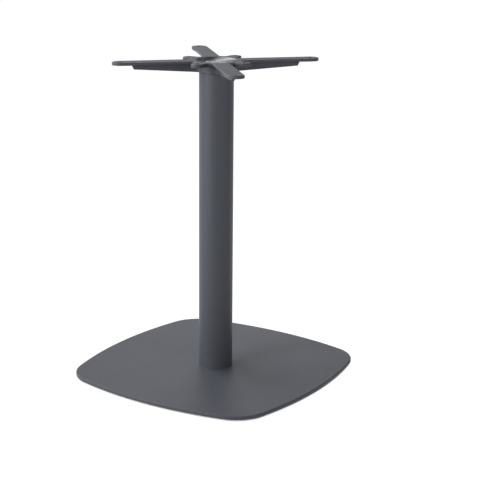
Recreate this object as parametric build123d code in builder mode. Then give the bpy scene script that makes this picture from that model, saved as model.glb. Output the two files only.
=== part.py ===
from build123d import *
from math import sqrt
import os

os.makedirs("parts", exist_ok=True)

# Pedestal base for a small table, in millimetres.
# The origin is on the floor, under the middle of the column, with +Z up.
# The plate's sides face along X and Y, and the arms point at its corners.
overall_height = 710.0

# Base plate: a square with bowed sides and round corners
plate_width = 540.0
plate_side_radius = 790.0
plate_corner_radius = 83.0
plate_thickness = 8.0
plate_top_radius = 2.0
plate_chamfer_width = 0.8

# Column tube and the two discs welded into its ends
column_diameter = 76.0
column_wall_thickness = 2.0
disc_thickness = 12.0
disc_gap_width = 0.1

# Spider arms: flat on top, thicker at the round tips, with one rib below that ends short of the hole
arm_count = 4
arm_start_angle = 45.0
arm_hole_spacing = 296.0
arm_hole_diameter = 6.5
arm_width = 36.0
arm_thickness = 4.5
arm_tip_thickness = 6.0
arm_tip_setback_length = 34.0
arm_tip_slope_length = 4.0
rib_thickness = 7.0
rib_setback_length = 28.8
rib_slope_length = 5.5
rib_end_depth = 16.5
rib_root_radius = 12.0
rib_foot_radius = 2.5

# Spider lugs: short ears between the arms
lug_circle_diameter = 145.0
lug_hole_diameter = 6.5
lug_end_radius = 14.0
lug_thickness = 7.5

# Spider hub: a round flange with a dish on top and a collar below
hub_overhang_width = 20.0
hub_rim_width = 12.5
hub_rim_thickness = 3.5
hub_edge_width = 1.1
hub_notch_radius = 5.5
dish_wall_length = 10.5
dish_depth = 5.2
dish_floor_thickness = 6.0
dish_rim_radius = 1.5
collar_depth = 26.5
collar_wall_thickness = 5.0
collar_chamfer_width = 1.0
spigot_depth = 4.0
spigot_gap_width = 0.25

# Countersunk socket screws
screw_diameter = 10.0
screw_head_diameter = 20.0
screw_head_angle = 90.0
screw_socket_width = 6.0
screw_socket_depth = 3.6
screw_tip_length = 1.0
screw_hole_gap_width = 0.4
screw_thread_gap_width = 0.1
screw_sink_depth = 0.2
spider_screw_count = 2
spider_screw_circle_diameter = 33.0
spider_screw_length = 40.0
spider_boss_diameter = 19.0
base_screw_count = 4
base_screw_circle_diameter = 44.0
base_screw_length = 20.0

# Floor glides pressed into the underside of the plate
glide_diameter = 28.0
glide_height = 3.0
glide_chamfer_width = 0.8
glide_peg_diameter = 9.8
glide_peg_length = 6.0
glide_peg_chamfer_width = 0.6
glide_hole_gap_width = 0.2
glide_hole_extra_depth = 0.5
glide_inset_length = 60.0

# Levels and radii that follow from the sizes above
square_diagonal = sqrt(2)
plate_bottom = glide_height
plate_top = plate_bottom + plate_thickness
spider_top = overall_height
column_top = spider_top - collar_depth
column_radius = column_diameter / 2
tube_inner_radius = column_radius - column_wall_thickness
disc_radius = tube_inner_radius - disc_gap_width
head_disc_top = column_top - spigot_depth
collar_inner_radius = column_radius - collar_wall_thickness
hub_radius = column_radius + hub_overhang_width
dish_radius = hub_radius - hub_rim_width
dish_floor_radius = dish_radius - dish_wall_length
dish_floor = spider_top - dish_depth
dish_lip_radius = dish_radius + 2 * dish_rim_radius
hollow_top = dish_floor - dish_floor_thickness
hub_rim_bottom = spider_top - hub_rim_thickness
arm_hole_radius = arm_hole_spacing / square_diagonal
arm_reach = arm_hole_radius + arm_width / 2
arm_bottom = spider_top - arm_thickness
arm_tip_bottom = spider_top - arm_tip_thickness
arm_tip_radius = arm_hole_radius - arm_tip_setback_length
rib_end_radius = arm_hole_radius - rib_setback_length
rib_top_radius = rib_end_radius + rib_slope_length
lug_circle_radius = lug_circle_diameter / 2
screw_radius = screw_diameter / 2
screw_head_radius = screw_head_diameter / 2
screw_hole_radius = screw_radius + screw_hole_gap_width / 2
screw_sink_radius = screw_head_radius + screw_hole_gap_width / 2 + screw_sink_depth
thread_hole_radius = screw_radius + screw_thread_gap_width / 2

# Each side of the plate is an arc about a point beyond the middle of the plate,
# and each corner arc touches two of them from inside.
side_centre = plate_side_radius - plate_width / 2
corner_span = plate_side_radius - plate_corner_radius
corner_centre = (sqrt(2 * corner_span**2 - side_centre**2) - side_centre) / 2
corner_reach = corner_centre * square_diagonal + plate_corner_radius
glide_offset = (corner_reach - glide_inset_length) / square_diagonal
glide_places = {
    "glide_front_left": (-glide_offset, -glide_offset),
    "glide_front_right": (glide_offset, -glide_offset),
    "glide_back_left": (-glide_offset, glide_offset),
    "glide_back_right": (glide_offset, glide_offset),
}


def nearest_vertices(sketch):
    """Corners of a sketch that lie nearest the column's axis."""
    return sketch.vertices().group_by(lambda v: round(Vector(v.X, v.Y).length, 2))[0]


def arm_outlines():
    """Plan of the arms in the current sketch: bars from the column's axis with tips round their holes."""
    with PolarLocations(arm_hole_radius / 2, arm_count, start_angle=arm_start_angle):
        Rectangle(arm_hole_radius, arm_width)
    with PolarLocations(arm_hole_radius, arm_count, start_angle=arm_start_angle):
        Circle(arm_width / 2)


def lug_outlines():
    """Plan of the lugs in the current sketch: short bars between the arms with half-round ends."""
    with PolarLocations(lug_circle_radius / 2, arm_count):
        Rectangle(lug_circle_radius, 2 * lug_end_radius)
    with PolarLocations(lug_circle_radius, arm_count):
        Circle(lug_end_radius)


def lies_along_rib(edge):
    """True for an edge that runs along the foot of a rib, half the rib's thickness from its middle."""
    middle = edge.center()
    sideways = abs(abs(middle.X) - abs(middle.Y)) / square_diagonal
    return round(sideways - rib_thickness / 2, 3) == 0


def save(piece, name):
    """Label a finished piece and write it under the same name."""
    piece.label = name
    export_step(piece, f"parts/{name}.step")


def countersunk_screw(length):
    """Countersunk socket screw with its head's face at z = 0 and its shank along -Z."""
    head_depth = screw_head_radius - screw_radius
    with BuildPart() as screw:
        with BuildSketch(Plane.XZ):
            with BuildLine():
                Polyline(
                    (0, 0),
                    (screw_head_radius, 0),
                    (screw_radius, -head_depth),
                    (screw_radius, screw_tip_length - length),
                    (screw_radius - screw_tip_length, -length),
                    (0, -length),
                    close=True,
                )
            make_face()
        revolve(axis=Axis.Z)
        with BuildSketch(Plane.XY):
            RegularPolygon(screw_socket_width / 2, 6, major_radius=False)
        extrude(amount=-screw_socket_depth, mode=Mode.SUBTRACT)
    return screw.part


def welded_disc(bottom, screw_count, screw_circle):
    """Round disc inside the tube, with threaded holes for the screws that pull on it."""
    with BuildPart() as disc:
        with BuildSketch(Plane.XY.offset(bottom)):
            Circle(disc_radius)
            with PolarLocations(screw_circle / 2, screw_count):
                Circle(thread_hole_radius, mode=Mode.SUBTRACT)
        extrude(amount=disc_thickness)
    return disc.part


# Base plate
with BuildPart() as base_plate:
    with BuildSketch(Plane.XY.offset(plate_bottom)) as plate_outline:
        with Locations((-side_centre, 0)):
            Circle(plate_side_radius)
        with Locations((side_centre, 0)):
            Circle(plate_side_radius, mode=Mode.INTERSECT)
        with Locations((0, -side_centre)):
            Circle(plate_side_radius, mode=Mode.INTERSECT)
        with Locations((0, side_centre)):
            Circle(plate_side_radius, mode=Mode.INTERSECT)
        fillet(plate_outline.vertices(), radius=plate_corner_radius)
    extrude(amount=plate_thickness)
    fillet(base_plate.faces().sort_by(Axis.Z)[-1].edges(), radius=plate_top_radius)
    chamfer(base_plate.faces().sort_by(Axis.Z)[0].edges(), length=plate_chamfer_width)
    with Locations(Plane(origin=(0, 0, plate_bottom), z_dir=(0, 0, -1))):
        with PolarLocations(base_screw_circle_diameter / 2, base_screw_count):
            CounterSinkHole(
                radius=screw_hole_radius,
                counter_sink_radius=screw_sink_radius,
                depth=plate_thickness,
                counter_sink_angle=screw_head_angle,
            )
    with BuildSketch(Plane.XY.offset(plate_bottom)):
        with Locations(*glide_places.values()):
            Circle((glide_peg_diameter + glide_hole_gap_width) / 2)
    extrude(amount=glide_peg_length + glide_hole_extra_depth, mode=Mode.SUBTRACT)
save(base_plate.part, "base_plate")

# Column tube
with BuildPart() as column_tube:
    with BuildSketch(Plane.XY.offset(plate_top)):
        Circle(column_radius)
        Circle(tube_inner_radius, mode=Mode.SUBTRACT)
    extrude(amount=column_top - plate_top)
save(column_tube.part, "column_tube")

# Discs welded into the ends of the tube
save(welded_disc(plate_top, base_screw_count, base_screw_circle_diameter), "column_foot_disc")
save(
    welded_disc(head_disc_top - disc_thickness, spider_screw_count, spider_screw_circle_diameter),
    "column_head_disc",
)

# Collar of the spider and the ribs that grow out of it, before they join the casting
with BuildPart() as collar_and_ribs:
    with BuildSketch(Plane.XY.offset(spider_top)) as rib_plan:
        Circle(column_radius)
        with PolarLocations(rib_top_radius / 2, arm_count, start_angle=arm_start_angle):
            Rectangle(rib_top_radius, rib_thickness)
        fillet(nearest_vertices(rib_plan), radius=rib_root_radius)
    extrude(amount=-collar_depth)
    with BuildSketch(Plane.XZ):
        with BuildLine():
            Polyline(
                (0, spider_top),
                (rib_top_radius, spider_top),
                (rib_top_radius, arm_bottom),
                (rib_end_radius, spider_top - rib_end_depth),
                (column_radius, column_top + collar_chamfer_width),
                (column_radius - collar_chamfer_width, column_top),
                (0, column_top),
                close=True,
            )
        make_face()
    revolve(axis=Axis.Z, mode=Mode.INTERSECT)

# Thicker tips of the arms, which slope up to the thinner arms on the side of the hub
with BuildPart() as arm_tips:
    with BuildSketch(Plane.XY.offset(spider_top)):
        arm_outlines()
    extrude(amount=-arm_tip_thickness)
    with BuildSketch(Plane.XZ):
        with BuildLine():
            Polyline(
                (arm_tip_radius, spider_top),
                (arm_reach + arm_tip_thickness, spider_top),
                (arm_reach + arm_tip_thickness, arm_tip_bottom),
                (arm_tip_radius + arm_tip_slope_length, arm_tip_bottom),
                (arm_tip_radius, arm_bottom),
                close=True,
            )
        make_face()
    revolve(axis=Axis.Z, mode=Mode.INTERSECT)

# Spider: one aluminium casting
with BuildPart() as spider:
    # Thin flange with the outline of arms, lugs and hub, rounded in every notch
    with BuildSketch(Plane.XY.offset(spider_top)) as flange_plan:
        Circle(hub_radius)
        arm_outlines()
        lug_outlines()
        fillet(nearest_vertices(flange_plan), radius=hub_notch_radius)
    extrude(amount=-hub_rim_thickness)

    # Full thickness of the arms and of the lugs
    with BuildSketch(Plane.XY.offset(spider_top)):
        arm_outlines()
    extrude(amount=-arm_thickness)
    with BuildSketch(Plane.XY.offset(spider_top)):
        lug_outlines()
    extrude(amount=-lug_thickness)

    # Cone under the flange, then the collar with its ribs, hollow below the dish
    with BuildSketch(Plane.XZ):
        with BuildLine():
            Polyline(
                (0, hub_rim_bottom),
                (hub_radius, hub_rim_bottom),
                (column_radius, hollow_top),
                (0, hollow_top),
                close=True,
            )
        make_face()
    revolve(axis=Axis.Z)
    add(collar_and_ribs.part)
    with BuildSketch(Plane.XY.offset(hollow_top)):
        Circle(collar_inner_radius)
    extrude(amount=column_top - hollow_top, mode=Mode.SUBTRACT)

    # Soft corners where the ribs meet the arms, then the thicker tips
    straight_edges = spider.edges().filter_by(GeomType.LINE)
    arm_bottom_edges = straight_edges.filter_by_position(Axis.Z, arm_bottom, arm_bottom)
    fillet(arm_bottom_edges.filter_by(lies_along_rib), radius=rib_foot_radius)
    add(arm_tips.part)

    # Spigot that centres the casting in the tube, and the bosses that sit on the head disc
    with BuildSketch(Plane.XY.offset(head_disc_top)):
        Circle(tube_inner_radius - spigot_gap_width)
        Circle(collar_inner_radius, mode=Mode.SUBTRACT)
    extrude(amount=spigot_depth)
    with BuildSketch(Plane.XY.offset(head_disc_top)):
        with PolarLocations(spider_screw_circle_diameter / 2, spider_screw_count):
            Circle(spider_boss_diameter / 2)
    extrude(amount=hollow_top - head_disc_top)

    # Narrow chamfer round the outline on top
    top_face = spider.faces().filter_by(Axis.Z).sort_by(Axis.Z)[-1]
    chamfer(top_face.outer_wire().edges(), length=hub_edge_width)

    # Dish with a curved wall that runs out level into its floor and rolls over at its rim
    with BuildSketch(Plane.XZ) as dish_profile:
        with BuildLine():
            floor_line = Line((0, dish_floor), (dish_floor_radius, dish_floor))
            wall_arc = TangentArc(floor_line @ 1, (dish_radius, spider_top), tangent=floor_line % 1)
            Polyline(
                wall_arc @ 1,
                (dish_lip_radius, spider_top),
                (dish_lip_radius, spider_top + dish_depth),
                (0, spider_top + dish_depth),
                (0, dish_floor),
            )
        make_face()
        rim_corner = dish_profile.vertices().sort_by_distance(wall_arc @ 1)[0]
        fillet(rim_corner, radius=dish_rim_radius)
    revolve(axis=Axis.Z, mode=Mode.SUBTRACT)

    # Holes for the table top's screws and for the screws in the dish
    with Locations((0, 0, spider_top)):
        with PolarLocations(arm_hole_radius, arm_count, start_angle=arm_start_angle):
            Hole(arm_hole_diameter / 2, depth=arm_tip_thickness)
        with PolarLocations(lug_circle_radius, arm_count):
            Hole(lug_hole_diameter / 2, depth=lug_thickness)
    with Locations((0, 0, dish_floor)):
        with PolarLocations(spider_screw_circle_diameter / 2, spider_screw_count):
            CounterSinkHole(
                radius=screw_hole_radius,
                counter_sink_radius=screw_sink_radius,
                depth=dish_floor - head_disc_top,
                counter_sink_angle=screw_head_angle,
            )
save(spider.part, "spider")

# Screws
spider_screw = countersunk_screw(spider_screw_length)
with BuildPart() as spider_screws:
    with Locations((0, 0, dish_floor - screw_sink_depth)):
        with PolarLocations(spider_screw_circle_diameter / 2, spider_screw_count):
            add(spider_screw)
save(spider_screws.part, "spider_screws")

base_screw = countersunk_screw(base_screw_length)
with BuildPart() as base_screws:
    with Locations(Plane(origin=(0, 0, plate_bottom + screw_sink_depth), z_dir=(0, 0, -1))):
        with PolarLocations(base_screw_circle_diameter / 2, base_screw_count):
            add(base_screw)
save(base_screws.part, "base_screws")

# Floor glides
for glide_name, (glide_x, glide_y) in glide_places.items():
    with BuildPart() as glide:
        with BuildSketch(Plane(origin=(glide_x, glide_y, 0))):
            Circle(glide_diameter / 2)
        extrude(amount=glide_height)
        chamfer(glide.faces().sort_by(Axis.Z)[0].edges(), length=glide_chamfer_width)
        with BuildSketch(Plane(origin=(glide_x, glide_y, plate_bottom))):
            Circle(glide_peg_diameter / 2)
        extrude(amount=glide_peg_length)
        chamfer(glide.faces().sort_by(Axis.Z)[-1].edges(), length=glide_peg_chamfer_width)
    save(glide.part, glide_name)
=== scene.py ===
"""Finishes, small turned pieces and studio stage for a pedestal table base."""

import math

import bpy
import numpy as np
from bpy.props import FloatProperty, FloatVectorProperty, PointerProperty
from mathutils import Matrix, Vector


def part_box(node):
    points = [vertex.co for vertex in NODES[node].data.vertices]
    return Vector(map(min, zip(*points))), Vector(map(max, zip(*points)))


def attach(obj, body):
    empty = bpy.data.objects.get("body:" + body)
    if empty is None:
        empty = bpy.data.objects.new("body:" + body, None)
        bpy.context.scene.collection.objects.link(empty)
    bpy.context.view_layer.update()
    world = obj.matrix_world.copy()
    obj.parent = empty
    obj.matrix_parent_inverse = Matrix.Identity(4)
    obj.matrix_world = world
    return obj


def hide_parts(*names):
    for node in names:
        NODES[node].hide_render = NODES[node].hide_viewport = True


bl_info = {
    "name": "Pedestal table base",
    "version": (1, 0, 0),
    "blender": (4, 5, 0),
    "location": "View3D > Sidebar > Table base",
    "description": "Dresses a pedestal table base with its powder coat, screws, glides and studio stage",
    "category": "Object",
}

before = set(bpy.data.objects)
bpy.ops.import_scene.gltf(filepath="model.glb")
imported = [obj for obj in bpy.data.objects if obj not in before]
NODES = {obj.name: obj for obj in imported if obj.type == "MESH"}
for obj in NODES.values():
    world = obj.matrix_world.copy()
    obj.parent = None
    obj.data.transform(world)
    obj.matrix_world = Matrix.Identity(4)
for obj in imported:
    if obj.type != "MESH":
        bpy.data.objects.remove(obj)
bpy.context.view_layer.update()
BODY = "root"


# Sizes and colours that a user would change


class CoatSettings(bpy.types.PropertyGroup):
    """Powder coat on the plate, the column and the spider."""

    colour: FloatVectorProperty(
        name="Coat colour", description="Bluish anthracite grey of the powder coat",
        subtype="COLOR", size=3, min=0.0, max=1.0, default=(0.0705, 0.0755, 0.0935),
    )
    roughness: FloatProperty(
        name="Roughness", description="Mean roughness of the satin coat",
        subtype="FACTOR", min=0.0, max=1.0, default=0.52,
    )
    specular: FloatProperty(
        name="Specular level", description="Strength of the coat's reflections",
        subtype="FACTOR", min=0.0, max=1.0, default=0.40,
    )
    grain_size: FloatProperty(
        name="Grain size", description="Width of one bump of the fine powder texture",
        subtype="DISTANCE", unit="LENGTH", min=0.0002, max=0.01, default=0.0011,
    )
    grain_depth: FloatProperty(
        name="Grain depth", description="Height of the bumps of the powder texture",
        subtype="DISTANCE", unit="LENGTH", min=0.0, max=0.001, default=0.00003,
    )
    cloud_size: FloatProperty(
        name="Cloud size", description="Width of the faint light and dark clouds in the coat",
        subtype="DISTANCE", unit="LENGTH", min=0.005, max=1.0, default=0.07,
    )


class SpiderSettings(bpy.types.PropertyGroup):
    """Dish and screw holes of the cast spider."""

    dish_radius: FloatProperty(
        name="Dish radius", description="Radius of the turned dish in the spider's hub",
        subtype="DISTANCE", unit="LENGTH", min=0.01, max=0.1, default=0.0455,
    )
    dish_depth: FloatProperty(
        name="Dish depth", description="Depth of the dish below the spider's top",
        subtype="DISTANCE", unit="LENGTH", min=0.001, max=0.02, default=0.0052,
    )
    dish_colour: FloatVectorProperty(
        name="Dish colour", description="Bare turned aluminium in the dish",
        subtype="COLOR", size=3, min=0.0, max=1.0, default=(0.30, 0.31, 0.33),
    )
    dish_roughness: FloatProperty(
        name="Dish roughness", description="Mean roughness of the bare turned metal",
        subtype="FACTOR", min=0.0, max=1.0, default=0.55,
    )
    dish_stretch: FloatProperty(
        name="Dish stretch", description="How far the tool marks stretch the dish's highlights",
        subtype="FACTOR", min=0.0, max=1.0, default=0.8,
    )
    dish_swirl: FloatProperty(
        name="Dish swirl", description="Turn of the tool marks' swirl in the dish",
        subtype="ANGLE", default=math.radians(60.0),
    )
    hole_radius: FloatProperty(
        name="Hole radius", description="Radius of the screw holes in the arms and the lugs",
        subtype="DISTANCE", unit="LENGTH", min=0.001, max=0.01, default=0.00325,
    )
    # Painted shade: near black laid on the walls of the spider's holes, standing in for the shade inside
    # them
    hole_shade_colour: FloatVectorProperty(
        name="Hole shade colour", description="Painted shade on the walls of the holes",
        subtype="COLOR", size=3, min=0.0, max=1.0, default=(0.006, 0.006, 0.0065),
    )
    arm_hole_place: FloatProperty(
        name="Arm hole place", description="X and Y of the hole in an arm",
        subtype="DISTANCE", unit="LENGTH", min=0.05, max=0.5, default=0.148,
    )
    lug_hole_circle: FloatProperty(
        name="Lug hole circle", description="Radius of the circle of the lugs' holes",
        subtype="DISTANCE", unit="LENGTH", min=0.02, max=0.2, default=0.0725,
    )


class SmallPieceSettings(bpy.types.PropertyGroup):
    """Colours of the screws, the discs and the glides, and sizes of the screws and the glides."""

    zinc_colour: FloatVectorProperty(
        name="Zinc colour", description="Bright zinc plating of the screws",
        subtype="COLOR", size=3, min=0.0, max=1.0, default=(0.62, 0.63, 0.65),
    )
    # Painted shade: near black laid in the screws' sockets and a little way round them
    socket_shade_colour: FloatVectorProperty(
        name="Socket shade colour", description="Painted shade in the screws' sockets and round their mouths",
        subtype="COLOR", size=3, min=0.0, max=1.0, default=(0.012, 0.012, 0.013),
    )
    steel_colour: FloatVectorProperty(
        name="Steel colour", description="Turned steel of the discs inside the column",
        subtype="COLOR", size=3, min=0.0, max=1.0, default=(0.40, 0.40, 0.41),
    )
    glide_colour: FloatVectorProperty(
        name="Glide colour", description="Black polyethylene of the floor glides",
        subtype="COLOR", size=3, min=0.0, max=1.0, default=(0.018, 0.018, 0.020),
    )
    screw_head_radius: FloatProperty(
        name="Screw head radius", description="Radius of a countersunk head's face",
        subtype="DISTANCE", unit="LENGTH", min=0.004, max=0.02, default=0.010,
    )
    screw_shank_radius: FloatProperty(
        name="Screw shank radius", description="Outer radius of the thread",
        subtype="DISTANCE", unit="LENGTH", min=0.002, max=0.01, default=0.005,
    )
    socket_width: FloatProperty(
        name="Socket width", description="Distance across the flats of the hexagon socket",
        subtype="DISTANCE", unit="LENGTH", min=0.002, max=0.01, default=0.006,
    )
    socket_depth: FloatProperty(
        name="Socket depth", description="Depth of the hexagon socket below the head's face",
        subtype="DISTANCE", unit="LENGTH", min=0.001, max=0.01, default=0.0036,
    )
    thread_pitch: FloatProperty(
        name="Thread pitch", description="Rise of the thread in one turn",
        subtype="DISTANCE", unit="LENGTH", min=0.0005, max=0.003, default=0.0015,
    )
    peg_radius: FloatProperty(
        name="Peg radius", description="Radius of the peg that holds a glide in the plate",
        subtype="DISTANCE", unit="LENGTH", min=0.002, max=0.01, default=0.0049,
    )


class StageSettings(bpy.types.PropertyGroup):
    """Camera and studio light."""

    azimuth: FloatProperty(
        name="Azimuth", description="Turn of the camera about the column",
        subtype="ANGLE", default=math.radians(34.168),
    )
    elevation: FloatProperty(
        name="Elevation", description="Height of the camera above the horizon, as an angle",
        subtype="ANGLE", default=math.radians(15.229),
    )
    distance: FloatProperty(
        name="Distance", description="From the camera to the point it orbits on the column's axis",
        subtype="DISTANCE", unit="LENGTH", default=3.1518,
    )
    orbit_height: FloatProperty(
        name="Orbit height", description="Height of that point above the floor",
        subtype="DISTANCE", unit="LENGTH", default=0.33556,
    )
    yaw: FloatProperty(
        name="Yaw", description="Turn of the view to the right of that point",
        subtype="ANGLE", default=math.radians(0.977),
    )
    pitch: FloatProperty(
        name="Pitch", description="Tilt of the view above that point",
        subtype="ANGLE", default=math.radians(-0.534),
    )
    roll: FloatProperty(
        name="Roll", description="Turn of the picture about its middle",
        subtype="ANGLE", default=math.radians(0.201),
    )
    focal_length: FloatProperty(
        name="Focal length", description="In millimetres, on a sensor 36 millimetres wide",
        min=1.0, default=105.737,
    )
    key_power: FloatProperty(
        name="Key power", description="Power of the main lamp, high on the left and a little behind",
        subtype="POWER", min=0.0, default=85.0,
    )
    low_power: FloatProperty(
        name="Low power", description="Power of the low lamp in front on the left",
        subtype="POWER", min=0.0, default=66.0,
    )
    fill_power: FloatProperty(
        name="Fill power", description="Power of the weak low lamp in front on the right",
        subtype="POWER", min=0.0, default=20.0,
    )
    back_power: FloatProperty(
        name="Back power", description="Power of the weak low lamp almost straight behind",
        subtype="POWER", min=0.0, default=12.0,
    )
    ambient: FloatProperty(
        name="Ambient", description="Strength of the even light from all round",
        subtype="FACTOR", min=0.0, max=1.0, default=0.1,
    )


class TableBaseSettings(bpy.types.PropertyGroup):
    """All settings of the table base."""

    coat: PointerProperty(type=CoatSettings)
    spider: PointerProperty(type=SpiderSettings)
    small: PointerProperty(type=SmallPieceSettings)
    stage: PointerProperty(type=StageSettings)


def settings():
    """The settings stored in the scene."""
    return bpy.context.scene.table_base


# Shader nodes


def feed(tree, node, values):
    """Link a node's inputs where a socket is given for them, and set them where a value is."""
    for label, value in values.items():
        if isinstance(value, bpy.types.NodeSocket):
            tree.links.new(value, node.inputs[label])
        else:
            node.inputs[label].default_value = value


def math_node(tree, operation, *values):
    """Result of a Math node fed with sockets or numbers."""
    node = tree.nodes.new("ShaderNodeMath")
    node.operation = operation
    feed(tree, node, dict(enumerate(values)))
    return node.outputs["Value"]


def drift(tree, noise, mean, spread):
    """Value that a noise from 0 to 1 moves about a mean, by half the spread to each side."""
    return math_node(tree, "MULTIPLY_ADD", math_node(tree, "SUBTRACT", noise, 0.5), spread, mean)


def between(tree, share, start, end):
    """Value that runs from a start to an end with a share from 0 to 1."""
    return math_node(tree, "MULTIPLY_ADD", share, end - start, start)


def soft_step(tree, value, low, high):
    """Smooth rise from 0 at one value to 1 at another."""
    node = tree.nodes.new("ShaderNodeMapRange")
    node.interpolation_type = "SMOOTHSTEP"
    feed(tree, node, {"Value": value, "From Min": low, "From Max": high})
    return node.outputs["Result"]


def noise_node(tree, vector, scale, detail):
    """Noise from 0 to 1 at a scale that is a number or a socket."""
    node = tree.nodes.new("ShaderNodeTexNoise")
    feed(tree, node, {"Vector": vector, "Scale": scale, "Detail": detail})
    return node.outputs["Fac"]


def mix_colours(tree, kind, factor, first, second):
    """Two colours mixed in one of the Mix node's ways."""
    node = tree.nodes.new("ShaderNodeMix")
    node.data_type = "RGBA"
    node.blend_type = kind
    feed(tree, node, {"Factor": factor, "A": first, "B": second})
    return node.outputs["Result"]


def tint(tree, colour, tone):
    """Colour multiplied by a tone that changes over the surface."""
    return mix_colours(tree, "MULTIPLY", 1.0, (*colour, 1.0), tone)


def bump(tree, height, distance, strength):
    """Normal of a surface that a height raises by up to a distance."""
    node = tree.nodes.new("ShaderNodeBump")
    feed(tree, node, {"Height": height, "Distance": distance, "Strength": strength})
    return node.outputs["Normal"]


def mix_shaders(tree, share, first, second):
    """Shader that changes from the first to the second with a share from 0 to 1."""
    node = tree.nodes.new("ShaderNodeMixShader")
    feed(tree, node, {0: share, 1: first, 2: second})
    return node.outputs["Shader"]


def folded_distance(tree, vector, far, near):
    """Distance in plan from a point (far, near), or from the nearest of its mirror images.

    The mirrors are the X and Y axes and the diagonals, so far is the larger of the two.
    """
    axes = tree.nodes.new("ShaderNodeSeparateXYZ")
    feed(tree, axes, {"Vector": vector})
    across = math_node(tree, "ABSOLUTE", axes.outputs["X"])
    along = math_node(tree, "ABSOLUTE", axes.outputs["Y"])
    outward = math_node(tree, "SUBTRACT", math_node(tree, "MAXIMUM", across, along), far)
    sideways = math_node(tree, "SUBTRACT", math_node(tree, "MINIMUM", across, along), near)
    sideways_square = math_node(tree, "MULTIPLY", sideways, sideways)
    return math_node(tree, "SQRT", math_node(tree, "MULTIPLY_ADD", outward, outward, sideways_square))


def powder_group():
    """Powder texture: tone and roughness drift in wide clouds, and the height is a fine grain."""
    name = "powder_texture"
    if name in bpy.data.node_groups:
        return bpy.data.node_groups[name]
    roughness_range = 0.10
    group = bpy.data.node_groups.new(name, "ShaderNodeTree")
    group.interface.new_socket("Vector", in_out="INPUT", socket_type="NodeSocketVector")
    for label in ("Grain size", "Cloud size", "Tone range", "Mean roughness"):
        group.interface.new_socket(label, in_out="INPUT", socket_type="NodeSocketFloat")
    for label in ("Tone", "Roughness", "Height"):
        group.interface.new_socket(label, in_out="OUTPUT", socket_type="NodeSocketFloat")
    source = group.nodes.new("NodeGroupInput").outputs
    grain_scale = math_node(group, "DIVIDE", 1.0, source["Grain size"])
    cloud_scale = math_node(group, "DIVIDE", 1.0, source["Cloud size"])
    grain = noise_node(group, source["Vector"], grain_scale, detail=2.0)
    cloud = noise_node(group, source["Vector"], cloud_scale, detail=3.0)
    cloud_tone = drift(group, cloud, 1.0, source["Tone range"])
    feed(group, group.nodes.new("NodeGroupOutput"), {
        "Tone": drift(group, grain, cloud_tone, source["Tone range"]),
        "Roughness": drift(group, cloud, source["Mean roughness"], roughness_range),
        "Height": grain,
    })
    return group


# Materials


def new_material(name):
    """Material with a Principled shader and a source of texture coordinates."""
    material = bpy.data.materials.new(name)
    material.use_nodes = True
    material.node_tree.nodes.new("ShaderNodeTexCoord")
    return material


def parts_of(material):
    """Node tree, Principled shader and object coordinates of a material."""
    tree = material.node_tree
    return tree, tree.nodes["Principled BSDF"], tree.nodes["Texture Coordinate"].outputs["Object"]


def paint_shade_near(material, distance, near, far, colour):
    """Paint a dark shade into a material up to a near distance, and keep its own colour from a far one on.
    """
    tree, shader, _ = parts_of(material)
    own_colour = shader.inputs["Base Color"].links[0].from_socket
    outside = soft_step(tree, distance, near, far)
    feed(tree, shader, {"Base Color": mix_colours(tree, "MIX", outside, (*colour, 1.0), own_colour)})


def grained_material(
    name, colour, roughness, tone_range, cloud_size, grain_size, grain_depth, grain_strength,
):
    """Surface of one colour with the clouds and the grain of the powder texture."""
    material = new_material(name)
    tree, shader, coordinates = parts_of(material)
    powder = tree.nodes.new("ShaderNodeGroup")
    powder.node_tree = powder_group()
    feed(tree, powder, {
        "Vector": coordinates,
        "Grain size": grain_size,
        "Cloud size": cloud_size,
        "Tone range": tone_range,
        "Mean roughness": roughness,
    })
    feed(tree, shader, {
        "Base Color": tint(tree, colour, powder.outputs["Tone"]),
        "Roughness": powder.outputs["Roughness"],
        "Normal": bump(tree, powder.outputs["Height"], grain_depth, grain_strength),
    })
    return material


def coat_material(name, tone_range, cloud_share=1.0, grain_share=1.0):
    """Satin powder coat from the settings, with a share of their cloud size and grain size."""
    coat = settings().coat
    material = grained_material(
        name, coat.colour, coat.roughness, tone_range,
        cloud_size=coat.cloud_size * cloud_share,
        grain_size=coat.grain_size * grain_share,
        grain_depth=coat.grain_depth,
        grain_strength=0.6,
    )
    tree, shader, _ = parts_of(material)
    feed(tree, shader, {"Specular IOR Level": coat.specular})
    return material


def spider_material(name):
    """Powder coat of the casting, with painted shade on the walls of the holes in its arms and lugs."""
    spider = settings().spider
    wall_margin = 0.00005
    fade_width = 0.0004
    material = coat_material(name, tone_range=0.08, cloud_share=0.5, grain_share=1.2)
    tree, _, coordinates = parts_of(material)
    arm_distance = folded_distance(tree, coordinates, spider.arm_hole_place, spider.arm_hole_place)
    lug_distance = folded_distance(tree, coordinates, spider.lug_hole_circle, 0.0)
    wall = spider.hole_radius + wall_margin
    distance = math_node(tree, "MINIMUM", arm_distance, lug_distance)
    # Painted shade: near black on the holes' walls, fading out over a thin band round their mouths
    paint_shade_near(material, distance, wall, wall + fade_width, spider.hole_shade_colour)
    return material


def metal_material(name, colour, roughness, ring_size, ring_depth):
    """Bare metal with fine turning rings about the column's axis, and cloudy tone and roughness."""
    tone_range = 0.24
    roughness_range = 0.20
    material = new_material(name)
    tree, shader, coordinates = parts_of(material)
    rings = tree.nodes.new("ShaderNodeTexWave")
    rings.wave_type = "RINGS"
    rings.rings_direction = "Z"
    feed(tree, rings, {"Vector": coordinates, "Scale": 1.0 / ring_size, "Distortion": 0.6})
    cloud = noise_node(tree, coordinates, scale=260.0, detail=3.0)
    feed(tree, shader, {
        "Base Color": tint(tree, colour, drift(tree, cloud, 1.0, tone_range)),
        "Roughness": drift(tree, cloud, roughness, roughness_range),
        "Normal": bump(tree, rings.outputs["Fac"], ring_depth, strength=0.5),
        "Metallic": 1.0,
    })
    return material


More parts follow.
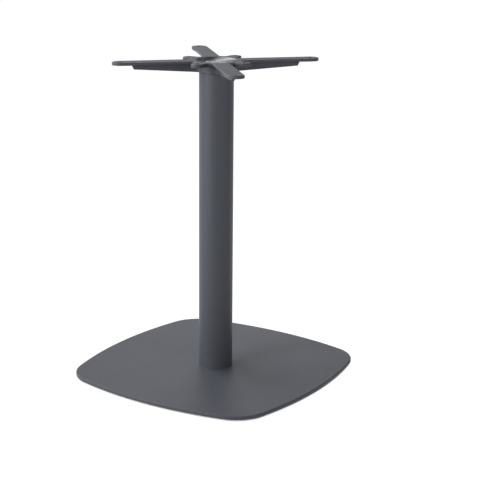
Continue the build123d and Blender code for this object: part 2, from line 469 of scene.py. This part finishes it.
def dish_material(name):
    """Bare turned metal of the spider's dish, with highlights that the tool marks stretch."""
    spider = settings().spider
    material = metal_material(
        name, spider.dish_colour, spider.dish_roughness, ring_size=0.0022, ring_depth=0.00002,
    )
    tree, shader, _ = parts_of(material)
    marks = tree.nodes.new("ShaderNodeTangent")
    marks.direction_type = "RADIAL"
    marks.axis = "Z"
    feed(tree, shader, {
        "Tangent": marks.outputs["Tangent"],
        "Anisotropic": spider.dish_stretch,
        "Anisotropic Rotation": spider.dish_swirl / (2.0 * math.pi),
    })
    return material


def screw_material(name, circle):
    """Zinc plating with painted shade in the sockets and round their mouths, for screws on a circle about
    the column's axis.
    """
    small = settings().small
    dark_share = 1.35
    plated_share = 1.50
    material = metal_material(
        name, small.zinc_colour, roughness=0.30, ring_size=0.0016, ring_depth=0.00001,
    )
    tree, _, coordinates = parts_of(material)
    distance = folded_distance(tree, coordinates, circle, 0.0)
    half_width = small.socket_width / 2.0
    dark_end = dark_share * half_width
    plated_start = plated_share * half_width
    # Painted shade: near black in the sockets, reaching a little past their hexagons before the zinc shows
    paint_shade_near(material, distance, dark_end, plated_start, small.socket_shade_colour)
    return material


def glide_material(name):
    """Matt moulded polyethylene with a faint spark-eroded grain."""
    return grained_material(
        name, settings().small.glide_colour, roughness=0.55, tone_range=0.25,
        cloud_size=0.012, grain_size=0.0005, grain_depth=0.00002, grain_strength=0.5,
    )


def dress(node, material):
    """Give a CAD node one material in place of its own."""
    slots = NODES[node].material_slots
    for slot in slots:
        slot.link = "DATA"
        slot.material = material
    if not slots:
        NODES[node].data.materials.append(material)


def dress_dish(material):
    """Give the faces of the spider's dish a second material.

    They are the triangles whose corners all lie within the dish's radius and not below its floor.
    """
    spider = settings().spider
    margin = 0.0002
    mesh = NODES["spider"].data
    points = np.empty(3 * len(mesh.vertices), dtype=np.float32)
    mesh.vertices.foreach_get("co", points)
    corners = np.empty(len(mesh.loops), dtype=np.int32)
    mesh.loops.foreach_get("vertex_index", corners)
    triangles = points.reshape(-1, 3)[corners].reshape(-1, 3, 3)
    reach = np.hypot(triangles[:, :, 0], triangles[:, :, 1]).max(axis=1)
    lowest = triangles[:, :, 2].min(axis=1)
    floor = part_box("spider")[1].z - spider.dish_depth
    inside = (reach < spider.dish_radius + margin) & (lowest > floor - margin)
    mesh.materials.append(material)
    mesh.polygons.foreach_set("material_index", inside * np.int32(len(mesh.materials) - 1))
    mesh.update()


# Turned pieces


def turned_surface(radii, heights):
    """Closed surface turned about Z from two grids of radius and height.

    A point at row i and column j lies at angle 2 pi j / columns, at radius radii[i, j]
    and height heights[i, j]. The first and the last row each shrink to one point on the axis.
    """
    rows, columns = radii.shape
    angle = np.arange(columns) * 2.0 * math.pi / columns
    ring = np.stack((radii * np.cos(angle), radii * np.sin(angle), heights), axis=-1)
    body = ring[1:-1].reshape(-1, 3)
    poles = np.array(((0.0, 0.0, heights[0, 0]), (0.0, 0.0, heights[-1, 0])))
    points = np.concatenate((body, poles))
    index = np.arange((rows - 2) * columns).reshape(rows - 2, columns)
    after = np.roll(index, -1, axis=1)
    quads = np.stack((index[:-1], index[1:], after[1:], after[:-1]), axis=-1).reshape(-1, 4)
    first = np.full(columns, len(body))
    last = first + 1
    fans = np.concatenate((
        np.stack((first, index[0], after[0]), axis=-1),
        np.stack((last, after[-1], index[-1]), axis=-1),
    ))
    return points, quads, fans


def add_piece(name, parts, material, replaced):
    """Object from (points, quads, fans) parts, with smooth faces and sharp corners.

    It rides on the base, takes the material it is given and stands for CAD nodes, which it hides.
    """
    sharp_angle = math.radians(32.0)
    starts = np.cumsum([0] + [len(points) for points, _, _ in parts])
    points = np.concatenate([part[0] for part in parts])
    faces = []
    for start, (_, quads, fans) in zip(starts, parts):
        faces += (quads + start).tolist() + (fans + start).tolist()
    mesh = bpy.data.meshes.new(name)
    mesh.from_pydata(points, [], faces)
    mesh.shade_smooth()
    mesh.set_sharp_from_angle(angle=sharp_angle)
    mesh.materials.append(material)
    piece = bpy.data.objects.new(name, mesh)
    bpy.context.scene.collection.objects.link(piece)
    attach(piece, BODY)
    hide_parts(*replaced)


def screw_surface(length):
    """Countersunk socket screw with its head's face at z = 0 and its shank along -Z.

    The rows run from the middle of the socket's floor to its edge, up the hexagon's wall, out over
    the head's face, down the cone and along the shank to the tip. In the socket the radius is the
    hexagon's, half its width divided by the cosine of the angle from the middle of the nearest flat.
    Along the shank the radius is a triangle wave of the height less the pitch times the turn.
    """
    small = settings().small
    head = small.screw_head_radius
    shank = small.screw_shank_radius
    pitch = small.thread_pitch
    socket_floor = -small.socket_depth
    head_depth = head - shank
    edge = 0.0003
    tip = 0.001
    tip_taper = 0.4 * tip
    core = shank - 0.61 * pitch
    run_in = 3.0 * pitch
    rows_per_turn = 6
    columns = 48
    flats = 6
    turn = np.arange(columns) / columns
    from_flat = (turn * flats % 1.0 - 0.5) * 2.0 * math.pi / flats
    hexagon = small.socket_width / 2.0 / np.cos(from_flat)
    circle = np.ones(columns)
    head_rows = (
        (0.0 * circle, socket_floor),
        (0.5 * hexagon, socket_floor),
        (hexagon, socket_floor),
        (hexagon, -edge),
        (hexagon + edge, 0.0),
        (0.5 * (hexagon + head), 0.0),
        ((head - edge) * circle, 0.0),
        (head * circle, -edge),
        ((shank + edge) * circle, edge - head_depth),
        (shank * circle, -head_depth),
    )
    drop = np.arange(head_depth + pitch, length - tip, pitch / rows_per_turn)[:, None]
    wave = np.abs((drop / pitch + turn) % 1.0 * 2.0 - 1.0)
    fade = np.clip((drop - head_depth) / run_in, 0.0, 1.0)
    thread = shank - (shank - core) * wave * fade
    tip_rows = (
        (core * circle, tip - length),
        ((core - tip_taper) * circle, -length),
        (0.0 * circle, -length),
    )
    head_radii, head_levels = zip(*head_rows)
    tip_radii, tip_levels = zip(*tip_rows)
    radii = np.concatenate((head_radii, thread, tip_radii))
    levels = np.concatenate((head_levels, -drop[:, 0], tip_levels))
    return turned_surface(radii, np.repeat(levels[:, None], columns, axis=1))


def screw_circle(node):
    """Radius of the circle of a CAD node's screws, from its box."""
    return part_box(node)[1].x - settings().small.screw_head_radius


def screw_copies(node, count, upright):
    """Screws on the circle that a CAD node's box gives, from +X round, head up or head down."""
    low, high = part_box(node)
    points, quads, fans = screw_surface(high.z - low.z)
    if not upright:
        points = points * (1.0, -1.0, -1.0)
    circle = screw_circle(node)
    head_level = high.z if upright else low.z
    turns = np.arange(count) * 2.0 * math.pi / count
    places = np.stack((circle * np.cos(turns), circle * np.sin(turns), np.full(count, head_level)), axis=-1)
    return [(points + place, quads, fans) for place in places]


def glide_surface(radius, height, peg_radius, peg_length):
    """Floor glide with its foot at z = 0 and its peg upwards.

    The profile is a row of radii and levels carried round the axis: a foot with a shallow ring
    groove and a gate dimple in the middle, a rounded edge as a quarter circle, a flat back and a peg
    with a chamfered end.
    """
    columns = 64
    hollow = 0.0004
    dimple = (0.0, 0.0008, 0.0014)
    groove = (0.62 * radius, 0.65 * radius, 0.69 * radius, 0.72 * radius)
    rim = 0.001
    rim_points = 7
    back_edge = 0.0002
    root = 0.0004
    chamfer = 0.0006
    top = height + peg_length
    quarter = np.linspace(0.0, math.pi / 2.0, rim_points)
    radii = np.concatenate((
        dimple,
        groove,
        radius - rim + rim * np.sin(quarter),
        (radius, radius - back_edge, peg_radius + root, peg_radius, peg_radius, peg_radius - chamfer, 0.0),
    ))
    levels = np.concatenate((
        (hollow, hollow, 0.0),
        (0.0, hollow, hollow, 0.0),
        rim - rim * np.cos(quarter),
        (height - back_edge, height, height, height + root, top - chamfer, top, top),
    ))
    grid = np.ones(columns)
    return turned_surface((radii[:, None] * grid)[::-1], (levels[:, None] * grid)[::-1])


# Stage

LAMPS = (
    # Name, turn from the camera and elevation in degrees, and width in metres
    ("key", -120.0, 40.0, 2.8),
    ("low", -60.0, 18.0, 1.4),
    ("fill", 48.0, 12.0, 1.4),
    ("back", 176.0, 12.0, 1.8),
)
LAMP_TARGET_HEIGHT = 0.36
LAMP_DISTANCE = 3.0
SENSOR_WIDTH = 36.0
CLIP_END = 200.0
FLOOR_REACH = 40.0


def direction(azimuth, elevation):
    """Unit vector from the column outwards, where an azimuth of zero is -Y."""
    level = math.cos(elevation)
    return Vector((math.sin(azimuth) * level, -math.cos(azimuth) * level, math.sin(elevation)))


def turn_pair(first, second, angle):
    """Two square axes turned in their own plane, the first towards the second."""
    cos, sin = math.cos(angle), math.sin(angle)
    return first * cos + second * sin, second * cos - first * sin


def camera_matrix():
    """Place and axes of the camera: an orbit about the column, then yaw, pitch and roll."""
    stage = settings().stage
    back = direction(stage.azimuth, stage.elevation)
    place = Vector((0.0, 0.0, stage.orbit_height)) + back * stage.distance
    forward = -back
    right = forward.cross(Vector((0.0, 0.0, 1.0))).normalized()
    up = right.cross(forward)
    forward, right = turn_pair(forward, right, stage.yaw)
    forward, up = turn_pair(forward, up, stage.pitch)
    right, up = turn_pair(right, up, stage.roll)
    axes = Matrix((right, up, -forward)).transposed().to_4x4()
    return Matrix.Translation(place) @ axes


def add_camera():
    """Camera of the scene, from the settings."""
    camera = bpy.data.objects.new("studio_camera", bpy.data.cameras.new("studio_camera"))
    camera.data.sensor_width = SENSOR_WIDTH
    camera.data.lens = settings().stage.focal_length
    camera.data.clip_end = CLIP_END
    camera.matrix_world = camera_matrix()
    bpy.context.scene.collection.objects.link(camera)
    bpy.context.scene.camera = camera


def add_area_lamp(name, turn, elevation, size, power):
    """Square soft lamp that faces the middle of the column, at a turn in degrees from the camera."""
    lamp = bpy.data.lights.new(name, "AREA")
    lamp.shape = "SQUARE"
    lamp.size = size
    lamp.energy = power
    back = direction(settings().stage.azimuth + math.radians(turn), math.radians(elevation))
    lamp_object = bpy.data.objects.new(name, lamp)
    lamp_object.visible_camera = False
    lamp_object.location = Vector((0.0, 0.0, LAMP_TARGET_HEIGHT)) + back * LAMP_DISTANCE
    lamp_object.rotation_mode = "QUATERNION"
    lamp_object.rotation_quaternion = (-back).to_track_quat("-Z", "Y")
    bpy.context.scene.collection.objects.link(lamp_object)


def seen_directly(tree):
    """One for camera, glossy and transmission rays, and zero for the rest."""
    path = tree.nodes.new("ShaderNodeLightPath").outputs
    seen = math_node(tree, "MAXIMUM", path["Is Camera Ray"], path["Is Glossy Ray"])
    return math_node(tree, "MAXIMUM", seen, path["Is Transmission Ray"])


def floor_material():
    """Pale floor: white where it is seen, with a painted contact shadow in its glow close under the object,
    and clear from beneath.
    """
    unseen_tone = 0.4
    seen_tone = 0.9
    glow_share = 0.86
    covered_glow = 0.07
    open_glow = 1.15
    contact_reach = 0.0045
    covered_sky = 0.40
    open_sky = 0.54
    material = bpy.data.materials.new("studio_floor")
    material.use_nodes = True
    tree = material.node_tree
    tree.nodes.remove(tree.nodes["Principled BSDF"])
    seen = seen_directly(tree)
    diffuse = tree.nodes.new("ShaderNodeBsdfDiffuse")
    feed(tree, diffuse, {"Color": between(tree, seen, unseen_tone, seen_tone)})
    # Painted contact shadow: the floor's glow dims where the object covers it within a short reach
    contact = tree.nodes.new("ShaderNodeAmbientOcclusion")
    feed(tree, contact, {"Distance": contact_reach})
    open_floor = soft_step(tree, contact.outputs["AO"], covered_sky, open_sky)
    glow = tree.nodes.new("ShaderNodeEmission")
    feed(tree, glow, {"Strength": between(tree, open_floor, covered_glow, open_glow)})
    clear = tree.nodes.new("ShaderNodeBsdfTransparent")
    beneath = tree.nodes.new("ShaderNodeNewGeometry").outputs["Backfacing"]
    glow_part = math_node(tree, "MULTIPLY", seen, glow_share)
    lit = mix_shaders(tree, glow_part, diffuse.outputs["BSDF"], glow.outputs["Emission"])
    sided = mix_shaders(tree, beneath, lit, clear.outputs["BSDF"])
    feed(tree, tree.nodes["Material Output"], {"Surface": sided})
    return material


def add_floor():
    """Wide level floor under the object."""
    mesh = bpy.data.meshes.new("studio_floor")
    corners = ((-1.0, -1.0), (1.0, -1.0), (1.0, 1.0), (-1.0, 1.0))
    points = [(FLOOR_REACH * x, FLOOR_REACH * y, 0.0) for x, y in corners]
    mesh.from_pydata(points, [], ((0, 1, 2, 3),))
    mesh.materials.append(floor_material())
    floor = bpy.data.objects.new("studio_floor", mesh)
    bpy.context.scene.collection.objects.link(floor)


def set_world(ambient):
    """Even light from all round."""
    world = bpy.data.worlds.new("studio_world")
    world.use_nodes = True
    background = world.node_tree.nodes["Background"]
    feed(world.node_tree, background, {"Color": (1.0, 1.0, 1.0, 1.0), "Strength": ambient})
    bpy.context.scene.world = world


# Operators


class TABLEBASE_OT_base_plate(bpy.types.Operator):
    """Powder coat the base plate"""

    bl_idname = "table_base.base_plate"
    bl_label = "Base plate"

    def execute(self, context):
        dress("base_plate", coat_material("plate_powder_coat", tone_range=0.05, cloud_share=1.6))
        return {"FINISHED"}


class TABLEBASE_OT_column(bpy.types.Operator):
    """Powder coat the column tube and give the discs inside it their turned steel"""

    bl_idname = "table_base.column"
    bl_label = "Column"

    def execute(self, context):
        dress("column_tube", coat_material("column_powder_coat", tone_range=0.05))
        colour = settings().small.steel_colour
        steel = metal_material(
            "turned_steel", colour, roughness=0.38, ring_size=0.004, ring_depth=0.00002,
        )
        dress("column_foot_disc", steel)
        dress("column_head_disc", steel)
        return {"FINISHED"}


class TABLEBASE_OT_spider(bpy.types.Operator):
    """Powder coat the cast spider and bare the metal in its dish"""

    bl_idname = "table_base.spider"
    bl_label = "Spider"

    def execute(self, context):
        dress("spider", spider_material("spider_powder_coat"))
        dress_dish(dish_material("dish_bare_metal"))
        return {"FINISHED"}


class TABLEBASE_OT_screws(bpy.types.Operator):
    """Build the zinc-plated screws with their threads and sockets"""

    bl_idname = "table_base.screws"
    bl_label = "Screws"

    def execute(self, context):
        for node, count, upright in (("spider_screws", 2, True), ("base_screws", 4, False)):
            zinc = screw_material(f"{node}_zinc", screw_circle(node))
            add_piece(f"{node}_threaded", screw_copies(node, count, upright), zinc, [node])
        return {"FINISHED"}


class TABLEBASE_OT_glides(bpy.types.Operator):
    """Build the moulded floor glides"""

    bl_idname = "table_base.glides"
    bl_label = "Glides"

    def execute(self, context):
        plastic = glide_material("glide_polyethylene")
        peg_radius = settings().small.peg_radius
        plate_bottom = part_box("base_plate")[0].z
        for node in sorted(n for n in NODES if n.startswith("glide_")):
            low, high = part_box(node)
            middle = (low + high) / 2.0
            radius = (high.x - low.x) / 2.0
            points, quads, fans = glide_surface(radius, plate_bottom, peg_radius, high.z - plate_bottom)
            part = (points + (middle.x, middle.y, low.z), quads, fans)
            add_piece(node.replace("glide", "floor_glide"), [part], plastic, [node])
        return {"FINISHED"}


class TABLEBASE_OT_stage(bpy.types.Operator):
    """Set up the floor, the world, the lamps and the camera"""

    bl_idname = "table_base.stage"
    bl_label = "Studio stage"

    def execute(self, context):
        stage = settings().stage
        add_floor()
        set_world(stage.ambient)
        for name, turn, elevation, size in LAMPS:
            add_area_lamp(f"{name}_lamp", turn, elevation, size, getattr(stage, f"{name}_power"))
        add_camera()
        context.scene.view_settings.view_transform = "Standard"
        return {"FINISHED"}


class TABLEBASE_PT_panel(bpy.types.Panel):
    """Sidebar panel with the steps that dress the table base"""

    bl_idname = "TABLEBASE_PT_panel"
    bl_label = "Table base"
    bl_space_type = "VIEW_3D"
    bl_region_type = "UI"
    bl_category = "Table base"

    def draw(self, context):
        for operator in STEPS:
            self.layout.operator(operator.bl_idname)


SETTINGS = (CoatSettings, SpiderSettings, SmallPieceSettings, StageSettings, TableBaseSettings)
STEPS = (
    TABLEBASE_OT_base_plate,
    TABLEBASE_OT_column,
    TABLEBASE_OT_spider,
    TABLEBASE_OT_screws,
    TABLEBASE_OT_glides,
    TABLEBASE_OT_stage,
)
CLASSES = (*SETTINGS, *STEPS, TABLEBASE_PT_panel)


def register():
    """Register the classes and the scene's settings."""
    for cls in CLASSES:
        bpy.utils.register_class(cls)
    bpy.types.Scene.table_base = PointerProperty(type=TableBaseSettings)


def unregister():
    """Remove the scene's settings and the classes."""
    del bpy.types.Scene.table_base
    for cls in reversed(CLASSES):
        bpy.utils.unregister_class(cls)


def main():
    register()
    bpy.ops.table_base.base_plate()
    bpy.ops.table_base.column()
    bpy.ops.table_base.spider()
    bpy.ops.table_base.screws()
    bpy.ops.table_base.glides()
    bpy.ops.table_base.stage()


if __name__ == "__main__":
    main()
